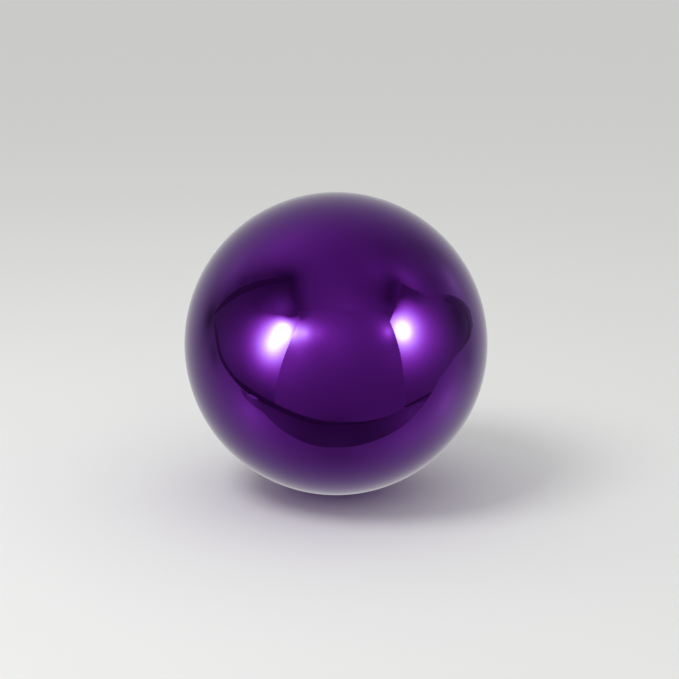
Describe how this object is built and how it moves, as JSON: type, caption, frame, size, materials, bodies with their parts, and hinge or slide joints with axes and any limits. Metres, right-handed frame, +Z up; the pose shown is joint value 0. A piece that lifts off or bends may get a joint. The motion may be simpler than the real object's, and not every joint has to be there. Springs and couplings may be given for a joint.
{
  "type": "mirror garden globe",
  "caption": "Hollow mirror-finish garden globe of purple-tinted steel: pressed half shells joined by a flush-ground seam, with a rubber plug in the vent hole at its rear pole.",
  "frame": {"origin": "centre of the ball", "axes": "+Z up as the ball lies on the lawn; +Y along the shells' common axis, out through the vent hole and its plug at the back; -Y towards the viewer; +X to the viewer's right"},
  "size_m": [0.254, 0.2554, 0.254],
  "materials": {
    "tinted_steel": "polished",
    "weld_metal": "polished",
    "plug_rubber": "matte"
  },
  "bodies": {
    "ball": {"front_shell": "tinted_steel", "rear_shell": "tinted_steel", "seam_weld": "weld_metal"},
    "plug": {"vent_plug": "plug_rubber"}
  },
  "joints": [
    {"name": "plug_pull", "type": "slide", "parent": "ball", "child": "plug", "axis": [0, 1, 0], "range_m": [0, 0.02]}
  ]
}
